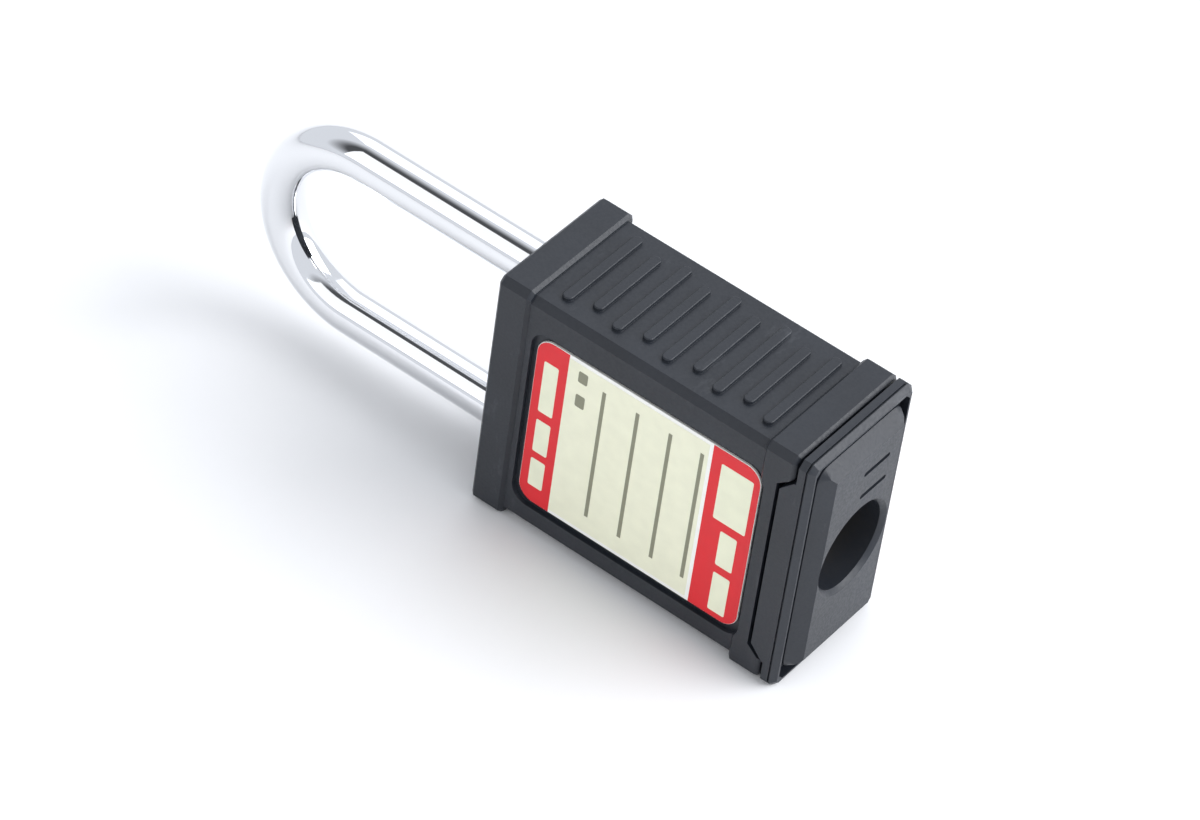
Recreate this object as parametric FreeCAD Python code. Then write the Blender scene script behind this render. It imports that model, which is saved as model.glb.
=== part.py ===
"""Safety padlock with a moulded body, a steel shackle and a pin-tumbler cylinder.

The padlock lies on its narrow side. +X points from the shackle to the key end, +Z is the
body's width and -Y is its front face. Lengths along X are written as u, the distance from
the body's shackle-end face, and every part is moved by SHIFT_X when it is written.
"""

import FreeCAD
import Part
import math
import os

Vector = FreeCAD.Vector

# Body, outside (mm)
WIDTH = 38.0
THICKNESS = 21.0
RIM_U = 47.5
PLATE_RISE = 1.4
COLLAR_STEP_Z = 0.7
COLLAR_STEP_Y = 0.5
EDGE_RADIUS = 0.9
TOP_COLLAR_END = 4.8
KEY_COLLAR_START = 40.3
COLLAR_BEVEL = 0.45
SEAM_NARROW_U = 45.2
SEAM_FACE_U = 43.1
SEAM_GAP = 0.5
TONGUE_HALF = 13.6
TONGUE_SLOPE = 2.0
TONGUE_WALL = 0.5
CENTRE_Z = WIDTH / 2
HALF_W = WIDTH / 2
HALF_T = THICKNESS / 2
MID_HALF_W = HALF_W - COLLAR_STEP_Z
MID_HALF_T = HALF_T - COLLAR_STEP_Y
PLATE_U = RIM_U + PLATE_RISE

# How far a cutter runs past the surface it opens, and how far joined blocks lap
OVER = 1.0
LAP = 0.5

# Two places this close count as one, when an edge is looked for
NEAR = 1e-4

# Grip ribs on the two narrow sides
RIB_COUNT = 9
RIB_FIRST_U = 7.85
RIB_PITCH = 3.79
RIB_WIDTH = 1.5
RIB_RISE = 0.5
RIB_HALF_LONG = 7.5
RIB_HALF_SHORT = 6.3
RIB_ROUND = 0.3

# Label recesses and labels
RECESS_DEPTH = 0.7
RECESS_U = (5.6, 41.2)
RECESS_Z = (4.1, 32.8)
RECESS_RADIUS = 2.4
LABEL_GAP = 0.8
LABEL_THICK = 0.4

# Cavity and lock case
WALL_W = 1.3
CASE_HALF_T = 7.35
CASE_HALF_W = MID_HALF_W - WALL_W
FIT_GAP = 0.1
ROOF_U = 2.6
BOLT_COVER_U = (2.7, 3.85)
CASE_U = (3.9, 43.0)

# Shackle
ROD_R = 3.0
LEG_SPACING = 26.0
BOW_REACH = 44.0
TOE_END_U = 12.1
HEEL_END_U = 32.4
HEEL_HEAD = 3.0
NECK_R = 2.0
LIFT = 12.6
LEG_FIT = 0.08
LEG_HOLE_GAP = 0.3
TOE_CHAMFER = 0.6
HEEL_Z = CENTRE_Z - LEG_SPACING / 2
TOE_Z = CENTRE_Z + LEG_SPACING / 2
BEND_R = LEG_SPACING / 2

# Retaining pin beside the neck of the heel leg
PIN_R = 1.0
PIN_GAP = 0.15
RETAIN_U = 15.6
NECK_U = (RETAIN_U - PIN_R - 0.25, HEEL_END_U - HEEL_HEAD)

# Locking bolts and the driver that moves them
AXIS_Z = 18.4
BOLT_U = (4.0, 7.0)
BOLT_TRAVEL = 6.0
NOSE_HALF = 1.9
ARM_IN = 2.2
ARM_OUT = 6.3
BITE = 1.6
NOTCH_GAP = 0.15
NOTCH_RAMP_GAP = 0.35
BOLT_HEAD_START = 2.5
BOLT_HEAD_END = {1: 5.2, -1: 5.6}
CHANNEL_GAP = 0.2
BOLT_CHANNEL_Z = (9.75, 28.25)
CHANNEL_HALF = 6.45
CRANK_R = BOLT_TRAVEL / math.sqrt(2.0)
CRANK_PIN_R = 0.8
SLOT_GAP = 0.2
BOLT_WEB = 1.0
DISC_R = 5.75
DISC_GAP = 0.15
DISC_U = (7.2, 9.6)
SHANK_R = 2.5
TANG_U = (14.0, 16.4)
TANG_SIZE = (1.8, 4.6)

# Cylinder
PLUG_R = 4.8
PLUG_U = (14.1, 42.6)
HOUSING_U = (15.7, 42.6)
BARREL_R = 6.6
BIBLE_HALF = 2.7
BIBLE_TOP_Z = 28.0
RUN_FIT = 0.05
PLUG_LIP_R = 5.6
PLUG_LIP = 1.2
KEYWAY_WIDTH = 1.5
KEYWAY_LOW = -4.0
KEYWAY_HIGH = 1.6
KEYWAY_STEP = 0.7
KEYWAY_START_U = 19.1
KEYWAY_LOWER_STEP_TOP = -1.8
KEYWAY_UPPER_STEP = (-1.1, 0.2)
CLIP_U = (14.8, 15.4)
CLIP_IN_R = 3.9
CLIP_OUT_R = 5.8
CLIP_OPENING = 1.4
PIN_COUNT = 5
PIN_FIRST_U = 38.4
PIN_PITCH = 3.8
TUMBLER_R = 1.25
KEY_PIN_DROPS = (4.2, 2.9, 3.6, 2.5, 3.3)
SHEAR_GAP = 0.12
DRIVER_LENGTH = 2.0
KEY_PIN_TIP = 0.6
CHAMBER_LID = 0.6
LID_END = 2.0
LID_SIDE = 0.4
TUMBLER_WIRE = 0.16
TUMBLER_TURNS = 3

# Springs and cross pins stop a little short of what holds them
END_GAP = 0.05
PIN_END_GAP = 0.1

# Shackle spring
SPRING_R = 2.3
SPRING_WIRE = 0.35
SPRING_END_U = 41.4
SPRING_TURNS = 7

# Pins, screw and insert that hold the pieces together
HOUSING_PIN_U = 19.0
HOUSING_PIN_Z = 26.2
SCREW_HEAD_U = (13.5, 15.9)
SCREW_HEAD_R = 2.3
SCREW_R = 1.25
SCREW_END_U = 46.8
SCREW_GAP = 0.2
SCREW_HEAD_GAP = 0.3
SOCKET_DEEP = 1.4
SOCKET_R = 1.4
INSERT_R = 2.1
INSERT_U = (43.6, 47.0)

# Key-end cover
RIM_BEVEL = 0.7
RIM_LINE_U = 46.6
RIM_LINE = 0.25
MOAT_IN = 1.0
MOAT_WIDE = 0.9
MOAT_DEEP = 1.2
PLATE_CHAMFER = (1.8, 1.7)
PLATE_CORNER = 2.0
KEY_HOLE_R = 6.3
KEY_HOLE_ROUND = 0.6
MARK_LENGTH = 5.3
MARK_WIDE = 0.7
MARK_DEEP = 0.35
MARK_Y = 2.0
MARK_Z = (27.4, 31.2)
MARK_TOP_ROUND = MARK_WIDE / 2

TOTAL_LENGTH = BOW_REACH + PLATE_U
SHIFT_X = TOTAL_LENGTH / 2 - PLATE_U


def box(u_range, y_range, z_range):
    """Return a plain block between the given limits."""
    size = [high - low for low, high in (u_range, y_range, z_range)]
    corner = Vector(u_range[0], y_range[0], z_range[0])
    return Part.makeBox(size[0], size[1], size[2], corner)


def rod_x(u_range, y, z, radius):
    """Return a round rod along X."""
    length = u_range[1] - u_range[0]
    return Part.makeCylinder(radius, length, Vector(u_range[0], y, z), Vector(1, 0, 0))


def rod_y(half, u, z, radius):
    """Return a round rod along Y, centred on the middle plane."""
    return Part.makeCylinder(radius, 2 * half, Vector(u, -half, z), Vector(0, 1, 0))


def rod_z(u, y, z_range, radius):
    """Return a round rod along Z."""
    length = z_range[1] - z_range[0]
    return Part.makeCylinder(radius, length, Vector(u, y, z_range[0]), Vector(0, 0, 1))


def edges_along(shape, direction):
    """Return the straight edges that run along one axis."""
    found = []
    for edge in shape.Edges:
        if not isinstance(edge.Curve, Part.Line):
            continue
        start, end = edge.Vertexes[0].Point, edge.Vertexes[-1].Point
        run = end.sub(start)
        if run.Length > NEAR and abs(run.normalize().dot(direction)) > 1 - NEAR:
            found.append(edge)
    return found


def edges_at_u(shape, u):
    """Return the edges that lie in the plane at u."""
    return [edge for edge in shape.Edges
            if abs(edge.BoundBox.XMin - u) < NEAR and abs(edge.BoundBox.XMax - u) < NEAR]


def bar(u_range, half_t, half_w, radius):
    """Return a bar along X, centred on the body, with rounded long edges."""
    shape = box(u_range, (-half_t, half_t), (CENTRE_Z - half_w, CENTRE_Z + half_w))
    return shape.makeFillet(radius, edges_along(shape, Vector(1, 0, 0)))


def prism_y(points, half):
    """Return a prism across Y from an outline of (u, z) points."""
    corners = [Vector(u, -half, z) for u, z in points]
    face = Part.Face(Part.makePolygon(corners + corners[:1]))
    return face.extrude(Vector(0, 2 * half, 0))


def on_level(shape, z):
    """Return the edges that lie at the height z."""
    return [edge for edge in shape.Edges
            if abs(edge.BoundBox.ZMin - z) < NEAR and abs(edge.BoundBox.ZMax - z) < NEAR]


def rib(u, half_length, side):
    """Return one rounded grip rib on the narrow side given by side (+1 or -1)."""
    base = MID_HALF_W - RIB_RISE
    top = MID_HALF_W + RIB_RISE
    z_range = (CENTRE_Z + base, CENTRE_Z + top)
    if side < 0:
        z_range = (CENTRE_Z - top, CENTRE_Z - base)
    radius = RIB_WIDTH / 2
    straight = half_length - radius
    body = box((u - radius, u + radius), (-straight, straight), z_range)
    for y in (-straight, straight):
        body = body.fuse(rod_z(u, y, z_range, radius))
    body = body.removeSplitter()
    face_z = z_range[1] if side > 0 else z_range[0]
    return body.makeFillet(RIB_ROUND, on_level(body, face_z))


def collar(u_range, bevel_at):
    """Return a full-size band of the body, bevelled at the listed ends."""
    shape = bar(u_range, HALF_T, HALF_W, EDGE_RADIUS)
    edges = [edge for u in bevel_at for edge in edges_at_u(shape, u)]
    return shape.makeChamfer(COLLAR_BEVEL, edges)


def tongue(half, end_u, inner_half_t):
    """Return the two face tongues, wide at the seam and narrower towards the shackle."""
    past_u = SEAM_NARROW_U + 2 * OVER
    outline = [(past_u, CENTRE_Z - half - TONGUE_SLOPE),
               (SEAM_NARROW_U, CENTRE_Z - half - TONGUE_SLOPE),
               (end_u, CENTRE_Z - half),
               (end_u, CENTRE_Z + half),
               (SEAM_NARROW_U, CENTRE_Z + half + TONGUE_SLOPE),
               (past_u, CENTRE_Z + half + TONGUE_SLOPE)]
    whole = prism_y(outline, HALF_T + OVER)
    core = box((0, RIM_U), (-inner_half_t, inner_half_t), (0, WIDTH))
    return whole.cut(core)


def label_recess(side):
    """Return the pocket for one label, on the face given by side (+1 or -1)."""
    floor = MID_HALF_T - RECESS_DEPTH
    y_range = (floor, HALF_T + OVER) if side > 0 else (-HALF_T - OVER, -floor)
    shape = box(RECESS_U, y_range, RECESS_Z)
    return shape.makeFillet(RECESS_RADIUS, edges_along(shape, Vector(0, 1, 0)))


def body_shell():
    """Return the moulded body with its cavity, recesses and shackle holes."""
    end_u = SEAM_NARROW_U - SEAM_GAP / 2
    shell = bar((0, end_u), MID_HALF_T, MID_HALF_W, EDGE_RADIUS)
    shell = shell.fuse(collar((0, TOP_COLLAR_END), (0, TOP_COLLAR_END)))
    shell = shell.fuse(collar((KEY_COLLAR_START, end_u), (KEY_COLLAR_START, end_u)))
    for number in range(RIB_COUNT):
        half_length = RIB_HALF_SHORT if number % 2 else RIB_HALF_LONG
        u = RIB_FIRST_U + number * RIB_PITCH
        for side in (-1, 1):
            shell = shell.fuse(rib(u, half_length, side))
    cavity = bar((ROOF_U, RIM_U), CASE_HALF_T + FIT_GAP, CASE_HALF_W + FIT_GAP, EDGE_RADIUS)
    shell = shell.cut(cavity)
    for z in (HEEL_Z, TOE_Z):
        shell = shell.cut(rod_x((-OVER, ROOF_U + OVER), 0, z, ROD_R + LEG_HOLE_GAP))
    for side in (-1, 1):
        shell = shell.cut(label_recess(side))
    half = TONGUE_HALF + SEAM_GAP / 2
    shell = shell.cut(tongue(half, SEAM_FACE_U - SEAM_GAP / 2, CASE_HALF_T))
    return shell.removeSplitter()


def plate_block():
    """Return the raised end plate with its broad sloping margin."""
    inset = MOAT_IN + MOAT_WIDE
    u_range = (RIM_U - MOAT_DEEP - OVER, PLATE_U)
    shape = bar(u_range, HALF_T - inset, HALF_W - inset, PLATE_CORNER)
    return shape.cut(plate_margins(HALF_T - inset)).cut(plate_margins(HALF_W - inset, True))


def plate_margins(half, turned=False):
    """Return the pair of cutters that slope the plate's margins at +half and -half.

    The pair lies across Y, or across Z when turned.
    """
    wide, deep = PLATE_CHAMFER
    past_u, past = PLATE_U + OVER, half + OVER
    outline = [(PLATE_U - deep, half), (PLATE_U, half - wide), (past_u, half - wide),
               (past_u, past), (PLATE_U - deep, past)]
    corners = [Vector(u, y, 0) for u, y in outline]
    upper = Part.Face(Part.makePolygon(corners + corners[:1])).extrude(Vector(0, 0, 2 * WIDTH))
    upper.translate(Vector(0, 0, -WIDTH))
    pair = upper.fuse(upper.mirror(Vector(0, 0, 0), Vector(0, 1, 0)))
    if turned:
        pair.rotate(Vector(0, 0, 0), Vector(1, 0, 0), 90)
        pair.translate(Vector(0, 0, CENTRE_Z))
    return pair


def end_cover():
    """Return the key-end cover: rim, raised plate, key hole, tongues and spigot."""
    start = SEAM_NARROW_U + SEAM_GAP / 2
    rim = bar((start, RIM_U), HALF_T, HALF_W, EDGE_RADIUS)
    rim = rim.makeChamfer(RIM_BEVEL, edges_at_u(rim, RIM_U))
    moat_out = bar((RIM_U - MOAT_DEEP, RIM_U + OVER), HALF_T - MOAT_IN, HALF_W - MOAT_IN, EDGE_RADIUS)
    rim = rim.cut(moat_out)
    line = bar((RIM_LINE_U - RIM_LINE / 2, RIM_LINE_U + RIM_LINE / 2), HALF_T + OVER, HALF_W + OVER, OVER)
    line = line.cut(bar((start, RIM_U), HALF_T - RIM_LINE, HALF_W - RIM_LINE, EDGE_RADIUS))
    cover = rim.cut(line).fuse(plate_block())
    cover = cover.fuse(bar((CASE_U[1] + FIT_GAP, start + LAP), CASE_HALF_T, CASE_HALF_W, EDGE_RADIUS))
    tongue_inside = CASE_HALF_T - TONGUE_WALL
    tabs = tongue(TONGUE_HALF - SEAM_GAP / 2, SEAM_FACE_U + SEAM_GAP / 2, tongue_inside)
    tabs = tabs.common(bar((0, RIM_U - RIM_BEVEL), HALF_T, HALF_W, EDGE_RADIUS))
    cover = cover.fuse(tabs.common(box((0, start + LAP), (-HALF_T, HALF_T), (0, WIDTH))))
    hole = rod_x((CASE_U[1] - OVER, PLATE_U + OVER), 0, AXIS_Z, KEY_HOLE_R)
    mouth = Part.makeCone(KEY_HOLE_R, KEY_HOLE_R + KEY_HOLE_ROUND, KEY_HOLE_ROUND,
                          Vector(PLATE_U - KEY_HOLE_ROUND, 0, AXIS_Z), Vector(1, 0, 0))
    cover = cover.cut(hole).cut(mouth)
    for z in MARK_Z:
        cover = cover.cut(end_mark(z))
    cover = cover.cut(rod_x(INSERT_U, 0, TOE_Z, INSERT_R))
    cover = cover.cut(rod_x((CASE_U[1] - OVER, INSERT_U[0] + LAP), 0, TOE_Z, SCREW_R + SCREW_GAP))
    return cover.removeSplitter()


def end_mark(z):
    """Return one plain slot in the end plate, with round ends."""
    half = MARK_LENGTH / 2 - MARK_TOP_ROUND
    u_range = (PLATE_U - MARK_DEEP, PLATE_U + OVER)
    slot = box(u_range, (MARK_Y - half, MARK_Y + half), (z - MARK_TOP_ROUND, z + MARK_TOP_ROUND))
    for y in (MARK_Y - half, MARK_Y + half):
        slot = slot.fuse(rod_x(u_range, y, z, MARK_TOP_ROUND))
    return slot.removeSplitter()


def cylinder_space(u_range, gap):
    """Return the outline of the cylinder housing, grown by gap, between two stations."""
    barrel = rod_x(u_range, 0, AXIS_Z, BARREL_R + gap)
    half = BIBLE_HALF + gap
    return barrel.fuse(box(u_range, (-half, half), (AXIS_Z, BIBLE_TOP_Z + gap))).removeSplitter()


def lock_case():
    """Return the die-cast case that holds the shackle, the bolts and the cylinder."""
    case = bar(CASE_U, CASE_HALF_T, CASE_HALF_W, EDGE_RADIUS)
    case = case.cut(rod_x((0, SPRING_END_U), 0, HEEL_Z, ROD_R + LEG_FIT))
    case = case.cut(rod_x((0, TOE_END_U + OVER), 0, TOE_Z, ROD_R + LEG_FIT))
    head_r = SCREW_HEAD_R + SCREW_HEAD_GAP
    case = case.cut(rod_x((TOE_END_U, SCREW_HEAD_U[1] + FIT_GAP), 0, TOE_Z, head_r))
    case = case.cut(rod_x((TOE_END_U, CASE_U[1] + OVER), 0, TOE_Z, SCREW_R + SCREW_GAP))
    channel_u = (BOLT_U[0] - CHANNEL_GAP, BOLT_U[1] + FIT_GAP)
    case = case.cut(box(channel_u, (-CHANNEL_HALF, CHANNEL_HALF), BOLT_CHANNEL_Z))
    nose = NOSE_HALF + NOTCH_GAP
    case = case.cut(box(channel_u, (-nose, nose), (HEEL_Z, TOE_Z)))
    case = case.cut(rod_x((BOLT_U[0], DISC_U[1] + FIT_GAP), 0, AXIS_Z, DISC_R + DISC_GAP))
    case = case.cut(rod_x((BOLT_U[0], CASE_U[1]), 0, AXIS_Z, SHANK_R + LEG_FIT))
    case = case.cut(cylinder_space((PLUG_U[0] - CHANNEL_GAP, CASE_U[1] + OVER), FIT_GAP / 2))
    case = case.cut(rod_y(CASE_HALF_T + OVER, RETAIN_U, retain_z(), PIN_R))
    case = case.cut(rod_y(CASE_HALF_T + OVER, HOUSING_PIN_U, HOUSING_PIN_Z, PIN_R))
    return case.removeSplitter()


def bolt_cover():
    """Return the steel plate that closes the bolt channel under the body's roof."""
    plate = bar(BOLT_COVER_U, CASE_HALF_T, CASE_HALF_W, EDGE_RADIUS)
    for z in (HEEL_Z, TOE_Z):
        plate = plate.cut(rod_x((0, CASE_U[0]), 0, z, ROD_R + LEG_FIT))
    return plate


def retain_z():
    """Return the height of the retaining pin, which passes beside the heel leg's neck."""
    return HEEL_Z + NECK_R + PIN_GAP + PIN_R


def leg_notch(leg_z, inward):
    """Return the cutter for a leg's notch: a flat bed and a ramp the bolt climbs out on."""
    rise = BOLT_TRAVEL / LIFT
    bed = leg_z + inward * (ROD_R - BITE - NOTCH_GAP)
    outside = leg_z + inward * (ROD_R + OVER / 2)
    bed_start = BOLT_U[0] - CHANNEL_GAP
    ramp_start = BOLT_U[1] + NOTCH_RAMP_GAP
    ramp_end = ramp_start + abs(outside - bed) / rise
    outline = [(bed_start, bed), (ramp_start, bed), (ramp_end, outside), (bed_start, outside)]
    return prism_y(outline, ROD_R + OVER)


def shackle():
    """Return the shackle: bow, toe leg and the longer heel leg with its neck and head."""
    bend_u = -(BOW_REACH - ROD_R - BEND_R)
    torus = Part.makeTorus(BEND_R, ROD_R, Vector(bend_u, 0, CENTRE_Z), Vector(0, 1, 0))
    bow = torus.common(box((-BOW_REACH - OVER, bend_u), (-HALF_T, HALF_T), (0, WIDTH)))
    toe = rod_x((bend_u, TOE_END_U), 0, TOE_Z, ROD_R)
    toe = toe.makeChamfer(TOE_CHAMFER, edges_at_u(toe, TOE_END_U))
    heel = rod_x((bend_u, HEEL_END_U), 0, HEEL_Z, ROD_R)
    ring = rod_x(NECK_U, 0, HEEL_Z, ROD_R + OVER).cut(rod_x(NECK_U, 0, HEEL_Z, NECK_R))
    shape = bow.fuse(toe).fuse(heel).removeSplitter()
    shape = shape.cut(leg_notch(HEEL_Z, 1)).cut(leg_notch(TOE_Z, -1)).cut(ring)
    return shape.removeSplitter()


def bolt(start_z, inward, side):
    """Return a locking bolt.

    start_z is the tip of its nose, inward is its direction of travel along Z, and side is
    the side of the middle plane (+1 or -1) on which its arm runs.
    """
    def span(near, far):
        ends = sorted((start_z + inward * near, start_z + inward * far))
        return (ends[0], ends[1])

    crank_z = AXIS_Z - inward * BOLT_TRAVEL / 2
    reach = abs(crank_z - start_z) + CRANK_PIN_R + SLOT_GAP + BOLT_WEB
    base_far = BOLT_HEAD_END[inward]
    y_base = sorted((-side * NOSE_HALF, side * ARM_OUT))
    y_arm = sorted((side * ARM_IN, side * ARM_OUT))
    shape = box(BOLT_U, (-NOSE_HALF, NOSE_HALF), span(0, base_far))
    shape = shape.fuse(box(BOLT_U, tuple(y_base), span(BOLT_HEAD_START, base_far)))
    shape = shape.fuse(box(BOLT_U, tuple(y_arm), span(BOLT_HEAD_START, reach)))
    slot_half = CRANK_PIN_R + SLOT_GAP
    y_slot = sorted((side * (ARM_IN - OVER), side * CRANK_R))
    slot_u = (BOLT_U[0] - OVER, BOLT_U[1] + OVER)
    slot = box(slot_u, tuple(y_slot), (crank_z - slot_half, crank_z + slot_half))
    slot = slot.fuse(rod_x(slot_u, side * CRANK_R, crank_z, slot_half))
    return shape.cut(slot).removeSplitter()


def heel_bolt():
    """Return the bolt that locks the heel leg."""
    return bolt(HEEL_Z + ROD_R - BITE, 1, 1)


def toe_bolt():
    """Return the bolt that locks the toe leg."""
    return bolt(TOE_Z - ROD_R + BITE, -1, -1)


def driver():
    """Return the driver: a disc with two crank pins, a shank and a tang for the plug."""
    half = BOLT_TRAVEL / 2
    shape = rod_x(DISC_U, 0, AXIS_Z, DISC_R)
    shape = shape.fuse(rod_x((DISC_U[1], TANG_U[0]), 0, AXIS_Z, SHANK_R))
    wide, tall = TANG_SIZE
    shape = shape.fuse(box(TANG_U, (-wide / 2, wide / 2), (AXIS_Z - tall / 2, AXIS_Z + tall / 2)))
    for y, z in ((half, AXIS_Z - half), (-half, AXIS_Z + half)):
        shape = shape.fuse(rod_x((BOLT_U[0] + FIT_GAP, DISC_U[0] + LAP), y, z, CRANK_PIN_R))
    return shape.removeSplitter()


def chamber_stations():
    """Return the stations of the pin chambers along the cylinder."""
    return [PIN_FIRST_U - number * PIN_PITCH for number in range(PIN_COUNT)]


def cylinder_housing():
    """Return the brass housing with the plug bore and the pin chambers."""
    shape = cylinder_space(HOUSING_U, 0)
    shape = shape.cut(rod_x(PLUG_U, 0, AXIS_Z, PLUG_R + RUN_FIT))
    lip_u = (HOUSING_U[1] - PLUG_LIP - RUN_FIT, HOUSING_U[1] + OVER)
    shape = shape.cut(rod_x(lip_u, 0, AXIS_Z, PLUG_LIP_R + RUN_FIT))
    for u in chamber_stations():
        shape = shape.cut(rod_z(u, 0, (AXIS_Z, BIBLE_TOP_Z + OVER), TUMBLER_R + RUN_FIT))
    shape = shape.cut(chamber_lid(0, OVER))
    return shape.cut(rod_y(BARREL_R, HOUSING_PIN_U, HOUSING_PIN_Z, PIN_R)).removeSplitter()


def chamber_lid(gap, above):
    """Return the block over the pin chambers, smaller by gap all round, with its top raised."""
    stations = chamber_stations()
    u_range = (stations[-1] - LID_END + gap, stations[0] + LID_END - gap)
    half = TUMBLER_R + LID_SIDE - gap
    return box(u_range, (-half, half), (BIBLE_TOP_Z - CHAMBER_LID, BIBLE_TOP_Z + above))


def chamber_cover():
    """Return the strip that closes the pin chambers."""
    return chamber_lid(RUN_FIT, 0)


def plug():
    """Return the plug with its lip, keyway, pin chambers, clip groove and tang slot."""
    shape = rod_x(PLUG_U, 0, AXIS_Z, PLUG_R)
    shape = shape.fuse(rod_x((PLUG_U[1] - PLUG_LIP, PLUG_U[1]), 0, AXIS_Z, PLUG_LIP_R))
    keyway_u = (KEYWAY_START_U, PLUG_U[1] + OVER)
    half = KEYWAY_WIDTH / 2
    low, high = AXIS_Z + KEYWAY_LOW, AXIS_Z + KEYWAY_HIGH
    upper_step = tuple(AXIS_Z + height for height in KEYWAY_UPPER_STEP)
    shape = shape.cut(box(keyway_u, (-half, half), (low, high)))
    shape = shape.cut(box(keyway_u, (-half - KEYWAY_STEP, 0), (low, AXIS_Z + KEYWAY_LOWER_STEP_TOP)))
    shape = shape.cut(box(keyway_u, (0, half + KEYWAY_STEP), upper_step))
    for u in chamber_stations():
        shape = shape.cut(rod_z(u, 0, (AXIS_Z, AXIS_Z + PLUG_R + OVER), TUMBLER_R + RUN_FIT))
    groove = rod_x(CLIP_U, 0, AXIS_Z, PLUG_R + OVER).cut(rod_x(CLIP_U, 0, AXIS_Z, CLIP_IN_R))
    wide, tall = (size / 2 + RUN_FIT for size in TANG_SIZE)
    tang_u = (PLUG_U[0] - OVER, TANG_U[1] + SLOT_GAP)
    tang = box(tang_u, (-wide, wide), (AXIS_Z - tall, AXIS_Z + tall))
    shape = shape.cut(groove).cut(tang)
    shank_u = (PLUG_U[0] - OVER, PLUG_U[0] + FIT_GAP)
    return shape.cut(rod_x(shank_u, 0, AXIS_Z, SHANK_R + RUN_FIT))


def plug_clip():
    """Return the open ring that keeps the plug in the housing."""
    ring = rod_x(CLIP_U, 0, AXIS_Z, CLIP_OUT_R).cut(rod_x(CLIP_U, 0, AXIS_Z, CLIP_IN_R))
    gap = box(CLIP_U, (-CLIP_OPENING, CLIP_OPENING), (AXIS_Z - CLIP_OUT_R - OVER, AXIS_Z))
    return ring.cut(gap)


def shear_z():
    """Return the height at which a flat pin end stays inside the plug's round surface."""
    return AXIS_Z + math.sqrt(PLUG_R ** 2 - TUMBLER_R ** 2)


def key_pins():
    """Return the pins that ride in the plug, each of its own length."""
    top = shear_z()
    pins = []
    for u, drop in zip(chamber_stations(), KEY_PIN_DROPS):
        pin = rod_z(u, 0, (top - drop, top), TUMBLER_R)
        pins.append(pin.makeChamfer(KEY_PIN_TIP, on_level(pin, top - drop)))
    return Part.makeCompound(pins)


def driver_pins():
    """Return the equal pins that wait in the housing above the shear line."""
    low = AXIS_Z + PLUG_R + SHEAR_GAP
    pins = [rod_z(u, 0, (low, low + DRIVER_LENGTH), TUMBLER_R) for u in chamber_stations()]
    return Part.makeCompound(pins)


def coil(radius, wire, height, turns):
    """Return a coil spring that stands on the XY plane."""
    helix = Part.makeHelix((height - 2 * wire) / turns, height - 2 * wire, radius)
    ring = Part.Wire(Part.makeCircle(wire, Vector(radius, 0, 0), Vector(0, 1, 0)))
    shape = Part.Wire(helix.Edges).makePipeShell([ring], True, True)
    shape.translate(Vector(0, 0, wire))
    return shape


def pin_springs():
    """Return the small springs above the driver pins."""
    low = AXIS_Z + PLUG_R + SHEAR_GAP + DRIVER_LENGTH
    height = BIBLE_TOP_Z - CHAMBER_LID - low
    springs = []
    for u in chamber_stations():
        spring = coil(TUMBLER_R - 2 * TUMBLER_WIRE, TUMBLER_WIRE, height - 2 * END_GAP, TUMBLER_TURNS)
        spring.translate(Vector(u, 0, low + END_GAP))
        springs.append(spring)
    return Part.makeCompound(springs)


def shackle_spring():
    """Return the spring that lifts the shackle, between its heel end and the case."""
    height = SPRING_END_U - HEEL_END_U - 2 * END_GAP
    spring = coil(SPRING_R, SPRING_WIRE, height, SPRING_TURNS)
    spring.rotate(Vector(0, 0, 0), Vector(0, 1, 0), 90)
    spring.translate(Vector(HEEL_END_U + END_GAP, 0, HEEL_Z))
    return spring


def retaining_pin():
    """Return the cross pin that stops the heel leg from leaving the body."""
    return rod_y(CASE_HALF_T - PIN_END_GAP, RETAIN_U, retain_z(), PIN_R)


def housing_pin():
    """Return the cross pin that keeps the cylinder housing in the case."""
    return rod_y(CASE_HALF_T - PIN_END_GAP, HOUSING_PIN_U, HOUSING_PIN_Z, PIN_R)


def cover_screw():
    """Return the long socket screw under the toe leg that holds the end cover."""
    head = rod_x(SCREW_HEAD_U, 0, TOE_Z, SCREW_HEAD_R)
    corners = []
    for number in range(6):
        angle = math.radians(60 * number)
        corners.append(Vector(SCREW_HEAD_U[0] - OVER, SOCKET_R * math.cos(angle),
                              TOE_Z + SOCKET_R * math.sin(angle)))
    socket = Part.Face(Part.makePolygon(corners + corners[:1])).extrude(Vector(SOCKET_DEEP + OVER, 0, 0))
    shank = rod_x((SCREW_HEAD_U[1], SCREW_END_U), 0, TOE_Z, SCREW_R)
    return head.cut(socket).fuse(shank).removeSplitter()


def cover_insert():
    """Return the brass insert in the end cover that the screw pulls on."""
    bore = rod_x((0, INSERT_U[1] - FIT_GAP), 0, TOE_Z, SCREW_R)
    return rod_x(INSERT_U, 0, TOE_Z, INSERT_R).cut(bore)


def label(side):
    """Return one label plate, a little smaller than its recess."""
    floor = MID_HALF_T - RECESS_DEPTH
    y_range = (floor, floor + LABEL_THICK) if side > 0 else (-floor - LABEL_THICK, -floor)
    u_range = (RECESS_U[0] + LABEL_GAP, RECESS_U[1] - LABEL_GAP)
    z_range = (RECESS_Z[0] + LABEL_GAP, RECESS_Z[1] - LABEL_GAP)
    shape = box(u_range, y_range, z_range)
    return shape.makeFillet(RECESS_RADIUS, edges_along(shape, Vector(0, 1, 0)))


def front_label():
    """Return the label on the front face."""
    return label(-1)


def back_label():
    """Return the label on the back face."""
    return label(1)


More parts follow.
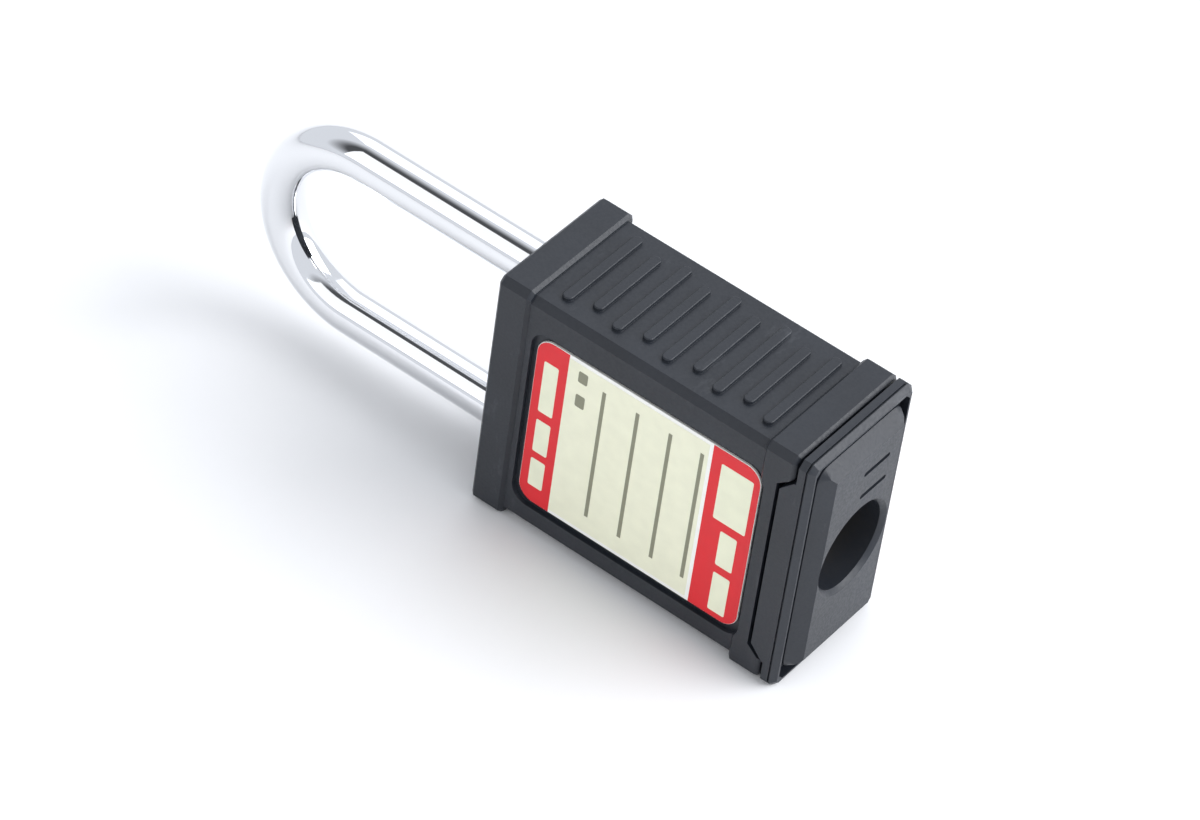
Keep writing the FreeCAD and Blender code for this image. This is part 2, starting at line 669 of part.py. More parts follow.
MAKERS = (body_shell, end_cover, lock_case, bolt_cover, shackle, heel_bolt, toe_bolt, driver,
          cylinder_housing, chamber_cover, plug, plug_clip, key_pins, driver_pins, pin_springs,
          shackle_spring, retaining_pin, housing_pin, cover_screw, cover_insert, front_label,
          back_label)


def main():
    """Build every part, move it into the row's frame and write it."""
    os.makedirs("parts", exist_ok=True)
    for maker in MAKERS:
        shape = maker()
        shape.translate(Vector(SHIFT_X, 0, 0))
        name = maker.__name__
        shape.exportStep(os.path.join("parts", name + ".step"))
        extent = shape.BoundBox
        print("%-18s valid %s solids %d volume %8.1f  x %7.2f %7.2f  y %6.2f %6.2f  z %6.2f %6.2f"
              % (name, shape.isValid(), len(shape.Solids), shape.Volume, extent.XMin, extent.XMax,
                 extent.YMin, extent.YMax, extent.ZMin, extent.ZMax))


main()
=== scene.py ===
"""Looks of a safety padlock: a ribbed nylon body, a chromed shackle, printed labels and a brass cylinder.

Sizes are in millimetres. A length along the body is written as u, the distance from its
shackle-end face. Y and Z are the frame's own, and Datum turns all three into metres.
"""
import logging
import math
from dataclasses import dataclass, field
from enum import Enum
from typing import Callable

import bmesh
import bpy
from mathutils import Euler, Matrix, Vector


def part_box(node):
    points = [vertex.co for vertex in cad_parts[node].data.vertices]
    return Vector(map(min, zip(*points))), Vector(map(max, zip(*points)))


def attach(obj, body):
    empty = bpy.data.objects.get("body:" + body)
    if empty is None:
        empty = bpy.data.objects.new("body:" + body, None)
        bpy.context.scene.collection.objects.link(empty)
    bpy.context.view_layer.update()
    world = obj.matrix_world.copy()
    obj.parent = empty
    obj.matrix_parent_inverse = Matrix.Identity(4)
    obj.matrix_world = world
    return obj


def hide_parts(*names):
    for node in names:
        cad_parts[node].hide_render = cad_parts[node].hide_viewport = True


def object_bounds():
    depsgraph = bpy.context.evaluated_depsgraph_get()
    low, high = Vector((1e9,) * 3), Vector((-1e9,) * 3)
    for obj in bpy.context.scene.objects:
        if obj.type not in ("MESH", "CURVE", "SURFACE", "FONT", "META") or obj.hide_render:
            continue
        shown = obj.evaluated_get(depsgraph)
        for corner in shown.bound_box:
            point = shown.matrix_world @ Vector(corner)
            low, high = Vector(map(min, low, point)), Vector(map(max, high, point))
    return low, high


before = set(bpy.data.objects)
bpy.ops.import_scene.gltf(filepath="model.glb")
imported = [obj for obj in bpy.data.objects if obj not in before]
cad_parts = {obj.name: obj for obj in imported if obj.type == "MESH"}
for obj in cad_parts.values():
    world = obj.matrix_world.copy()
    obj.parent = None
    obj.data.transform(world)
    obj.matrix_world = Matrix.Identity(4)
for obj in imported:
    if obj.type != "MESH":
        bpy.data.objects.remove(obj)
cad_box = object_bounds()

log = logging.getLogger("padlock")

MM = 0.001
Span = tuple[float, float]
Piece = bpy.types.Object
Material = bpy.types.Material
Tree = bpy.types.NodeTree
Node = bpy.types.Node
Socket = bpy.types.NodeSocket
Element = bmesh.types.BMVert | bmesh.types.BMEdge | bmesh.types.BMFace


class Side(Enum):
    """The two broad faces of the body, by the sign of Y."""

    FRONT = -1
    BACK = 1


class Axis(Enum):
    """The frame's axes."""

    X = 0
    Y = 1
    Z = 2


class Pick(Enum):
    """What an edit-mode selection is made of."""

    VERTS = "VERT"
    EDGES = "EDGE"
    FACES = "FACE"


class Join(Enum):
    """How one solid is combined with another."""

    ADD = "UNION"
    CUT = "DIFFERENCE"


@dataclass(frozen=True)
class Datum:
    """Where the padlock's body lies in the frame."""

    start_x: float
    centre_z: float

    @staticmethod
    def read() -> "Datum":
        """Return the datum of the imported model."""
        low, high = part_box("body_shell")
        return Datum(low.x, (low.z + high.z) / 2 / MM)

    def point(self, u: float, y: float, z: float) -> Vector:
        """Return a place in the frame, in metres, from its u, y and z in millimetres."""
        return Vector((self.start_x + u * MM, y * MM, z * MM))


DATUM = Datum.read()
CENTRE_Z = DATUM.centre_z
# the height of the key cylinder's axis
KEY_Z = 18.4


# ---------------------------------------------------------------- hand tools


def put_down() -> None:
    """Leave edit mode and deselect everything."""
    if bpy.context.object is not None and bpy.context.object.mode != "OBJECT":
        bpy.ops.object.mode_set(mode="OBJECT")
    bpy.ops.object.select_all(action="DESELECT")


def take(piece: Piece) -> None:
    """Select one piece alone and make it the active one.

    Args:
        piece: the piece.
    """
    put_down()
    piece.select_set(True)
    bpy.context.view_layer.objects.active = piece


def settle(name: str) -> Piece:
    """Name the piece just added and move its place into its mesh.

    Args:
        name: the piece's name.

    Returns:
        The piece.
    """
    piece = bpy.context.object
    piece.name = name
    piece.data.name = name
    bpy.ops.object.transform_apply(location=True, rotation=True, scale=True)
    return piece


def block(name: str, u: Span, y: Span, z: Span) -> Piece:
    """Add a block between the given limits.

    Args:
        name: the piece's name.
        u: its limits along the body.
        y: its limits across the body.
        z: its limits in height.

    Returns:
        The block.
    """
    put_down()
    low, high = DATUM.point(u[0], y[0], z[0]), DATUM.point(u[1], y[1], z[1])
    bpy.ops.mesh.primitive_cube_add(size=1.0, location=(low + high) / 2, scale=high - low)
    return settle(name)


def face_block(name: str, side: Side, u: Span, depth: Span, z: Span) -> Piece:
    """Add a block on one broad face, with its depth counted outwards from the middle plane."""
    near, far = sorted(side.value * value for value in depth)
    return block(name, u, (near, far), z)


def bar(name: str, u: Span, half_t: float, half_w: float, bevel: float) -> Piece:
    """Add a bar along the body, centred on it, with bevelled long edges.

    Args:
        name: the piece's name.
        u: its limits along the body.
        half_t: half its thickness, across Y.
        half_w: half its width, across Z.
        bevel: the size of the bevel on its long edges.

    Returns:
        The bar.
    """
    piece = block(name, u, (-half_t, half_t), (CENTRE_Z - half_w, CENTRE_Z + half_w))
    round_along(piece, Axis.X, bevel, 1)
    return piece


TURN_TO = {Axis.X: (0.0, math.pi / 2, 0.0), Axis.Y: (-math.pi / 2, 0.0, 0.0), Axis.Z: (0.0, 0.0, 0.0)}


def rod(name: str, axis: Axis, start: Vector, length: float, radius: float, sides: int = 48,
        far_radius: float | None = None) -> Piece:
    """Add a round rod, or a cone.

    Args:
        name: the piece's name.
        axis: the direction it runs in, towards the positive side.
        start: the middle of its near end, in metres.
        length: its length in millimetres.
        radius: its radius in millimetres.
        sides: the number of faces round it.
        far_radius: the radius at its far end, if that differs.

    Returns:
        The rod.
    """
    put_down()
    middle = start.copy()
    middle[axis.value] += length / 2 * MM
    far = radius if far_radius is None else far_radius
    bpy.ops.mesh.primitive_cone_add(vertices=sides, radius1=radius * MM, radius2=far * MM,
                                    depth=length * MM, location=middle, rotation=TURN_TO[axis])
    return settle(name)


def pick(piece: Piece, kind: Pick, test: Callable[[Element], bool]) -> None:
    """Open a piece in edit mode with some of its elements selected.

    Args:
        piece: the piece to open.
        kind: the kind of element.
        test: says of an element whether it is selected.
    """
    take(piece)
    bpy.ops.object.mode_set(mode="EDIT")
    bpy.ops.mesh.select_mode(type=kind.value)
    bpy.ops.mesh.select_all(action="DESELECT")
    mesh = bmesh.from_edit_mesh(piece.data)
    elements = {Pick.VERTS: mesh.verts, Pick.EDGES: mesh.edges, Pick.FACES: mesh.faces}[kind]
    for element in elements:
        if test(element):
            element.select_set(True)
    mesh.select_flush_mode()
    bmesh.update_edit_mesh(piece.data)


# places nearer than this many metres are one, and a face that looks along X has this much of it
NEAR = 1e-6
SQUARE_ON = 0.9


def middle_of(edge: bmesh.types.BMEdge) -> Vector:
    """Return the middle of an edge."""
    return (edge.verts[0].co + edge.verts[1].co) / 2


def runs_along(edge: bmesh.types.BMEdge, axis: Axis) -> bool:
    """Return whether an edge is parallel to an axis."""
    run = edge.verts[1].co - edge.verts[0].co
    return abs(run[axis.value]) > run.length - NEAR


def round_along(piece: Piece, axis: Axis, radius: float, steps: int,
                where: Callable[[Vector], bool] = lambda place: True) -> None:
    """Round a piece's edges that run along an axis.

    Args:
        piece: the piece.
        axis: the direction of the edges.
        radius: the radius in millimetres.
        steps: the faces in each round edge.
        where: says of an edge's middle whether that edge is rounded.
    """
    pick(piece, Pick.EDGES, lambda edge: runs_along(edge, axis) and where(middle_of(edge)))
    bpy.ops.mesh.bevel(offset=radius * MM, segments=steps, profile=0.5, affect="EDGES")
    put_down()


def bevel_end(piece: Piece, axis: Axis, level: float, width: float, steps: int = 1) -> None:
    """Bevel the edges that lie in one plane square to an axis.

    Args:
        piece: the piece.
        axis: the direction square to the plane.
        level: the plane's place along the axis, in metres.
        width: the bevel's width in millimetres.
        steps: the faces across the bevel.
    """
    pick(piece, Pick.EDGES, lambda edge: all(abs(v.co[axis.value] - level) < NEAR for v in edge.verts))
    bpy.ops.mesh.bevel(offset=width * MM, segments=steps, profile=0.5, affect="EDGES")
    put_down()


def flared(name: str, side: Side, u: Span, depth: Span, half: Span) -> Piece:
    """Add a block on one broad face that widens towards the key end.

    Args:
        name: the piece's name.
        side: the face it is on.
        u: its limits along the body.
        depth: its limits outwards from the middle plane.
        half: half its width at its two ends.

    Returns:
        The block.
    """
    near, wide = half
    piece = face_block(name, side, u, depth, (CENTRE_Z - near, CENTRE_Z + near))
    end = DATUM.point(u[1], 0, CENTRE_Z)
    pick(piece, Pick.VERTS, lambda vert: abs(vert.co.x - end.x) < NEAR)
    bpy.ops.transform.resize(value=(1, 1, wide / near), center_override=end)
    put_down()
    return piece


def lengthen(piece: Piece, middle_y: float, reach: float) -> None:
    """Draw a round piece out along Y, both ways, to an oblong with round ends.

    Args:
        piece: the piece.
        middle_y: its middle, in millimetres.
        reach: how far each half moves, in millimetres.
    """
    for side in Side:
        pick(piece, Pick.VERTS, lambda vert: (vert.co.y - middle_y * MM) * side.value > -NEAR)
        bpy.ops.transform.translate(value=(0, side.value * reach * MM, 0))
        put_down()


def combine(piece: Piece, tool: Piece, how: Join) -> None:
    """Combine a piece with another solid, which is used up.

    Args:
        piece: the piece that is kept.
        tool: the solid that is added or cut away.
        how: the way they are combined.
    """
    take(piece)
    modifier = piece.modifiers.new(how.name.lower(), "BOOLEAN")
    modifier.operation = how.value
    modifier.solver = "EXACT"
    modifier.object = tool
    bpy.ops.object.modifier_apply(modifier=modifier.name)
    bpy.data.objects.remove(tool)


def twin(piece: Piece, name: str, move: Vector) -> Piece:
    """Copy a piece with its own mesh and move the copy.

    Args:
        piece: the piece to copy.
        name: the copy's name.
        move: how far the copy is moved, in metres.

    Returns:
        The copy.
    """
    take(piece)
    bpy.ops.object.duplicate(linked=False)
    bpy.context.object.location = move
    return settle(name)


def mirrored(piece: Piece, name: str, axis: Axis, level: float) -> Piece:
    """Copy a piece to the other side of a plane, with its faces still outwards.

    Args:
        piece: the piece to copy.
        name: the copy's name.
        axis: the direction square to the plane.
        level: the plane's place along the axis, in metres.

    Returns:
        The copy.
    """
    take(piece)
    bpy.ops.object.duplicate(linked=False)
    bpy.context.object.scale[axis.value] = -1.0
    bpy.context.object.location[axis.value] = 2 * level
    copy = settle(name)
    close_up(copy)
    return copy


def gather(pieces: list[Piece], name: str) -> Piece:
    """Join several pieces into one object.

    Args:
        pieces: the pieces, of which the first gives the object.
        name: the object's name.

    Returns:
        The object.
    """
    take(pieces[0])
    for piece in pieces[1:]:
        piece.select_set(True)
    bpy.ops.object.join()
    pieces[0].name = name
    pieces[0].data.name = name
    return pieces[0]


def close_up(piece: Piece, merge: float = 0.002, flat: float = 0.2) -> None:
    """Merge a piece's doubled points, join its flat faces and turn its faces outwards.

    Args:
        piece: the piece.
        merge: points nearer than this are one, in millimetres.
        flat: faces that meet at less than this are one, in degrees.
    """
    pick(piece, Pick.VERTS, lambda vert: True)
    bpy.ops.mesh.remove_doubles(threshold=merge * MM)
    bpy.ops.mesh.dissolve_limited(angle_limit=math.radians(flat))
    bpy.ops.mesh.select_all(action="SELECT")
    bpy.ops.mesh.normals_make_consistent(inside=False)
    put_down()


def soften(piece: Piece, width: float, steps: int = 2, over: float = 30.0) -> None:
    """Give a piece's sharp edges the small radius they leave the mould or the tumbler with.

    Args:
        piece: the piece.
        width: the width of the rounding in millimetres.
        steps: the faces across the rounding.
        over: edges sharper than this many degrees are rounded.
    """
    take(piece)
    modifier = piece.modifiers.new("small_radius", "BEVEL")
    modifier.width = width * MM
    modifier.segments = steps
    modifier.limit_method = "ANGLE"
    modifier.angle_limit = math.radians(over)
    modifier.use_clamp_overlap = True
    bpy.ops.object.modifier_apply(modifier=modifier.name)


def smooth(piece: Piece, up_to: float = 50.0) -> None:
    """Shade a piece smooth, with its broad faces kept flat.

    Args:
        piece: the piece.
        up_to: edges sharper than this many degrees stay sharp.
    """
    take(piece)
    bpy.ops.object.shade_smooth_by_angle(angle=math.radians(up_to))
    modifier = piece.modifiers.new("flat_faces", "WEIGHTED_NORMAL")
    modifier.mode = "FACE_AREA"
    modifier.keep_sharp = True
    bpy.ops.object.modifier_apply(modifier=modifier.name)
    put_down()


# ---------------------------------------------------------------- finishes


def linear(code: str) -> tuple[float, float, float, float]:
    """Turn an sRGB hex colour into linear values.

    Args:
        code: the colour, as six hex digits.

    Returns:
        Red, green, blue and one for alpha.
    """
    parts = [int(code[start:start + 2], 16) / 255 for start in (0, 2, 4)]
    red, green, blue = [p / 12.92 if p <= 0.04045 else ((p + 0.055) / 1.055) ** 2.4 for p in parts]
    return (red, green, blue, 1.0)


def add(tree: Tree, kind: str, settings: dict | None = None, **inputs: object) -> Node:
    """Add a node with its settings, values and links.

    Args:
        tree: the tree it goes into.
        kind: the node's type.
        settings: the node's own settings, by name.
        **inputs: for each input a value, a node for its first output or one of a node's outputs;
            _ stands for a space, and a name such as in_0 gives an input by its number.

    Returns:
        The node.
    """
    node = tree.nodes.new(kind)
    for name, value in (settings or {}).items():
        setattr(node, name, value)
    for name, value in inputs.items():
        key = int(name[3:]) if name.startswith("in_") else name.replace("_", " ")
        if isinstance(value, Node):
            value = value.outputs[0]
        if isinstance(value, Socket):
            tree.links.new(value, node.inputs[key])
        else:
            node.inputs[key].default_value = value
    return node


def per_metre(size: float) -> float:
    """Return the texture scale that repeats a pattern once in this many millimetres."""
    return 1.0 / (size * MM)


@dataclass(frozen=True)
class Noise:
    """A random pattern: its real size in millimetres and its character."""

    size: float
    detail: float = 2.0
    fine: float = 0.5
    warp: float = 0.0
    stretch: tuple[float, ...] = (1.0, 1.0, 1.0)

    def lay(self, tree: Tree, place: Socket) -> Socket:
        """Add the pattern's nodes.

        Args:
            tree: the material's nodes.
            place: the Object coordinates.

        Returns:
            The pattern.
        """
        drawn = add(tree, "ShaderNodeMapping", Vector=place, Scale=self.stretch)
        return add(tree, "ShaderNodeTexNoise", Vector=drawn, Scale=per_metre(self.size), Detail=self.detail,
                   Roughness=self.fine, Distortion=self.warp).outputs["Fac"]


@dataclass(frozen=True)
class Rings:
    """Fine rings round a lathe's axis that runs along X: their spacing and the axis's height."""

    size: float
    axis_z: float
    warp: float = 0.4
    bands: float = 20.0

    def lay(self, tree: Tree, place: Socket) -> Socket:
        """Add the pattern's nodes.

        Args:
            tree: the material's nodes.
            place: the Object coordinates.

        Returns:
            The pattern.
        """
        centred = add(tree, "ShaderNodeMapping", Vector=place, Location=(0.0, 0.0, -self.axis_z * MM))
        return add(tree, "ShaderNodeTexWave", {"wave_type": "RINGS", "rings_direction": "X"},
                   Vector=centred, Scale=per_metre(self.size) / self.bands, Distortion=self.warp,
                   Detail=2.0).outputs["Fac"]


@dataclass(frozen=True)
class Change:
    """A value that goes from low to high while a noise goes over a span that holds most of it."""

    noise: Noise
    low: float
    high: float
    over: Span = (0.3, 0.7)


@dataclass(frozen=True)
class Relief:
    """A pattern that stands out of the surface, with its strength and its depth in millimetres."""

    pattern: Noise | Rings
    strength: float
    depth: float


@dataclass(frozen=True)
class Finish:
    """A material, and how its tone, wear, roughness and relief follow its patterns.

    The tone multiplies the colour, and the wear is the share of the worn colour.
    """

    name: str
    colour: str
    worn: str = ""
    tone: Change | None = None
    wear: Change | None = None
    roughness: Change | float = 0.5
    relief: Relief | None = None
    metallic: float = 0.0
    ior: float | None = None
    specular: float = 0.5

    def make(self) -> Material:
        """Return the material, with its nodes.

        Returns:
            The material.
        """
        material = bpy.data.materials.new(self.name)
        material.use_nodes = True
        tree = material.node_tree
        tree.nodes.clear()
        place = add(tree, "ShaderNodeTexCoord").outputs["Object"]
        colour: object = linear(self.colour)
        if self.tone:
            colour = add(tree, "ShaderNodeVectorMath", {"operation": "SCALE"}, in_0=linear(self.colour)[:3],
                         Scale=self.follow(tree, place, self.tone))
        if self.wear:
            share = self.follow(tree, place, self.wear)
            colour = add(tree, "ShaderNodeMix", {"data_type": "RGBA"}, Factor=share, in_6=colour,
                         in_7=linear(self.worn)).outputs[2]
        inputs = {"Base_Color": colour, "Roughness": self.roughness, "Metallic": self.metallic,
                  "Specular_IOR_Level": self.specular}
        if isinstance(self.roughness, Change):
            inputs["Roughness"] = self.follow(tree, place, self.roughness)
        if self.ior:
            inputs["IOR"] = self.ior
        if self.relief:
            inputs["Normal"] = add(tree, "ShaderNodeBump", Height=self.relief.pattern.lay(tree, place),
                                   Strength=self.relief.strength, Distance=self.relief.depth * MM)
        surface = add(tree, "ShaderNodeBsdfPrincipled", **inputs)
        add(tree, "ShaderNodeOutputMaterial", Surface=surface.outputs["BSDF"])
        material.diffuse_color = linear(self.colour)
        return material

    def follow(self, tree: Tree, place: Socket, change: Change) -> Node:
        """Return a node whose value goes from low to high as its noise does."""
        return add(tree, "ShaderNodeMapRange", Value=change.noise.lay(tree, place), From_Min=change.over[0],
                   From_Max=change.over[1], To_Min=change.low, To_Max=change.high)


@dataclass(frozen=True)
class MouldedNylon(Finish):
    """Glass-filled nylon from a spark-eroded mould.

    The fine grain breaks up the gloss to a satin, the flow of the melt leaves slow changes of
    tone, and handling leaves a few faint paler rubs. The real grain is about 0.05 mm, and is
    drawn coarser so that it shows.
    """

    worn: str = "585B60"
    tone: Change | None = Change(Noise(9.0, detail=3.0), 0.86, 1.14)
    wear: Change | None = Change(Noise(3.0, detail=6.0, fine=0.7, stretch=(1.0, 0.35, 0.35)), 0.0, 0.35,
                                 over=(0.6, 0.78))
    roughness: Change | float = Change(Noise(0.35), 0.36, 0.5)
    relief: Relief | None = Relief(Noise(0.35), 0.35, 0.02)
    ior: float | None = 1.46


@dataclass(frozen=True)
class ChromePlate(Finish):
    """Bright chrome on polished steel rod.

    The buffing wheel leaves hair lines round the rod that only show in the highlights, drawn
    coarser than the real 0.02 mm so that they do, and a thin haze of finger grease dulls it in
    patches.
    """

    roughness: Change | float = Change(Noise(6.0, detail=5.0, fine=0.6), 0.035, 0.11,
                                       over=(0.42, 0.72))
    relief: Relief | None = Relief(Noise(0.2, stretch=(1.0, 0.06, 0.06)), 0.12, 0.004)
    metallic: float = 1.0


@dataclass(frozen=True)
class PrintedVinyl(Finish):
    """Calendered vinyl film, or the screen ink on it.

    A weak orange peel softens its gloss, and the ink lies a little unevenly.
    """

    tone: Change | None = Change(Noise(2.5, detail=4.0), 0.955, 1.02)
    roughness: Change | float = 0.38
    relief: Relief | None = Relief(Noise(0.8, detail=1.0), 0.15, 0.02)
    ior: float | None = 1.5


@dataclass(frozen=True)
class TurnedMetal(Finish):
    """Metal from a lathe: brass cylinder parts and pins.

    Fine rings run round the lathe's axis, drawn coarser than the real 0.1 mm so that they
    show, and the brass is browned in patches where it has been touched.
    """

    wear: Change | None = Change(Noise(2.0, detail=5.0), 0.0, 0.8, over=(0.45, 0.75))
    roughness: Change | float = Change(Noise(2.0, detail=5.0), 0.22, 0.42)
    relief: Relief | None = Relief(Rings(0.25, KEY_Z), 0.25, 0.01)
    metallic: float = 1.0


@dataclass(frozen=True)
class CastAlloy(Finish):
    """Die-cast zinc alloy as it leaves the die.

    The skin is mottled by the flow of the metal and slightly rough, with a grain drawn coarser
    than the real 0.1 mm so that it shows.
    """

    worn: str = "6F7276"
    wear: Change | None = Change(Noise(1.6, detail=6.0, warp=0.8), 1.0, 0.0, over=(0.0, 1.0))
    roughness: Change | float = Change(Noise(0.3), 0.4, 0.65, over=(0.0, 1.0))
    relief: Relief | None = Relief(Noise(0.3), 0.3, 0.02)
    metallic: float = 1.0


@dataclass(frozen=True)
class WorkedSteel(Finish):
    """Steel that is ground, drawn, plated or blackened.

    Fine lines run the way it was worked and give it a streaked gloss. They are drawn coarser
    than the real 0.03 mm so that they show.
    """

    metallic: float = 1.0

    @classmethod
    def worked(cls, name: str, colour: str, along: Axis, roughness: Span) -> "WorkedSteel":
        """Return steel with lines that run one way.

        Args:
            name: the material's name.
            colour: its colour.
            along: the direction of the lines.
            roughness: the range of its roughness.

        Returns:
            The finish.
        """
        across, drawn = 1.0, 0.05
        lines = Noise(0.15, detail=3.0, stretch=tuple(drawn if axis is along else across for axis in Axis))
        return cls(name, colour, tone=Change(lines, 0.9, 1.05), roughness=Change(lines, *roughness),
                   relief=Relief(lines, 0.2, 0.01))


@dataclass(frozen=True)
class StudioPaper(Finish):
    """Matt white background paper, even and without gloss."""

    tone: Change | None = Change(Noise(3.0, detail=3.0), 0.99, 1.0, over=(0.0, 1.0))
    roughness: Change | float = 0.9
    specular: float = 0.1


# ---------------------------------------------------------------- the moulded body


@dataclass
class BodyMoulding:
    """The ribbed body: two raised bands, grip ribs, label recesses and the cavity."""

    end_u: float = 44.95
    half_w: float = 19.0
    half_t: float = 10.5
    mid_half_w: float = 18.3
    mid_half_t: float = 10.0
    edge_bevel: float = 0.9
    top_band: Span = (0.0, 4.8)
    key_band_start: float = 40.3
    band_bevel: float = 0.45
    rib_count: int = 9
    rib_first_u: float = 7.85
    rib_pitch: float = 3.79
    rib_width: float = 1.5
    rib_rise: float = 0.5
    rib_half: Span = (7.5, 6.3)
    rib_round: float = 0.18
    rib_sides: int = 20
    rib_steps: int = 3
    recess_u: Span = (5.6, 41.2)
    recess_z: Span = (4.1, 32.8)
    recess_depth: float = 0.7
    recess_radius: float = 2.4
    recess_steps: int = 8
    roof_u: float = 2.6
    cavity_half_t: float = 7.45
    cavity_half_w: float = 17.1
    leg_hole_r: float = 3.3
    leg_z: Span = (6.0, 32.0)
    tongue_u: Span = (42.85, 45.2)
    tongue_half: Span = (13.85, 15.85)
    tongue_floor: float = 7.35
    small_radius: float = 0.13
    over: float = 1.0

    def build(self) -> Piece:
        """Model the body.

        Returns:
            The finished piece.
        """
        body = bar("body_moulding", (self.over, self.end_u - self.over), self.mid_half_t, self.mid_half_w,
                   self.edge_bevel)
        for name, u in (("top_band", self.top_band), ("key_band", (self.key_band_start, self.end_u))):
            combine(body, self.band(name, u), Join.ADD)
        combine(body, self.ribs(), Join.ADD)
        combine(body, self.cavity(), Join.CUT)
        for z in self.leg_z:
            hole = rod("leg_hole", Axis.X, DATUM.point(-self.over, 0, z), self.roof_u + 2 * self.over,
                       self.leg_hole_r)
            combine(body, hole, Join.CUT)
        for side in Side:
            combine(body, self.recess(side), Join.CUT)
            combine(body, self.tongue_space(side), Join.CUT)
        close_up(body)
        soften(body, self.small_radius)
        smooth(body)
        return body

    def band(self, name: str, u: Span) -> Piece:
        """Model one raised band with bevelled ends.

        Args:
            name: the band's name.
            u: its limits along the body.

        Returns:
            The band.
        """
        piece = bar(name, u, self.half_t, self.half_w, self.edge_bevel)
        for end in u:
            bevel_end(piece, Axis.X, DATUM.point(end, 0, 0).x, self.band_bevel)
        return piece

    def rib(self, name: str, u: float, half: float) -> Piece:
        """Model one grip rib on the upper narrow side.

        Args:
            name: the rib's name.
            u: its place along the body.
            half: half its length.

        Returns:
            The rib.
        """
        top = CENTRE_Z + self.mid_half_w + self.rib_rise
        radius = self.rib_width / 2
        piece = rod(name, Axis.Z, DATUM.point(u, 0, top - 2 * self.rib_rise), 2 * self.rib_rise, radius,
                    self.rib_sides)
        lengthen(piece, 0.0, half - radius)
        bevel_end(piece, Axis.Z, top * MM, self.rib_round, self.rib_steps)
        return piece

    def ribs(self) -> Piece:
        """Model all the ribs of both narrow sides.

        Returns:
            The ribs, as one object.
        """
        samples = [self.rib("rib", self.rib_first_u, half) for half in self.rib_half]
        found = [twin(samples[number % 2], "rib_copy", Vector((number * self.rib_pitch * MM, 0, 0)))
                 for number in range(self.rib_count)]
        for sample in samples:
            bpy.data.objects.remove(sample)
        upper = gather(found, "ribs")
        lower = mirrored(upper, "lower_ribs", Axis.Z, CENTRE_Z * MM)
        return gather([upper, lower], "ribs")

    def cavity(self) -> Piece:
        """Model the space for the lock case."""
        return bar("cavity", (self.roof_u, self.end_u + self.over), self.cavity_half_t, self.cavity_half_w,
                   self.edge_bevel)

    def recess(self, side: Side) -> Piece:
        """Model the pocket for one label.

        Args:
            side: the face it is on.

        Returns:
            The cutter.
        """
        depth = (self.mid_half_t - self.recess_depth, self.half_t + self.over)
        piece = face_block("recess", side, self.recess_u, depth, self.recess_z)
        round_along(piece, Axis.Y, self.recess_radius, self.recess_steps)
        return piece

    def tongue_space(self, side: Side) -> Piece:
        """Model the gap on one face that a tongue of the end cover fills."""
        depth = (self.tongue_floor, self.half_t + self.over)
        return flared("tongue_space", side, self.tongue_u, depth, self.tongue_half)

    def dress(self, piece: Piece, material: Material) -> None:
        """Give the body its finish and its place in the frame."""
        fit_out(piece, material, "case", "body_nylon", "body_shell")


def fit_out(piece: Piece, material: Material, body: str, slot: str,
            *nodes: str) -> None:
    """Give a piece its finish, its body and the nodes that it stands for.

    Args:
        piece: the piece.
        material: its finish.
        body: the body it moves with.
        slot: the record's material slot; not used.
        *nodes: the nodes it stands for.
    """
    piece.data.materials.clear()
    piece.data.materials.append(material)
    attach(piece, body)
    if nodes:
        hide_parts(*nodes)
    log.info("%s: %d faces, moves with %s", piece.name, len(piece.data.polygons), body)


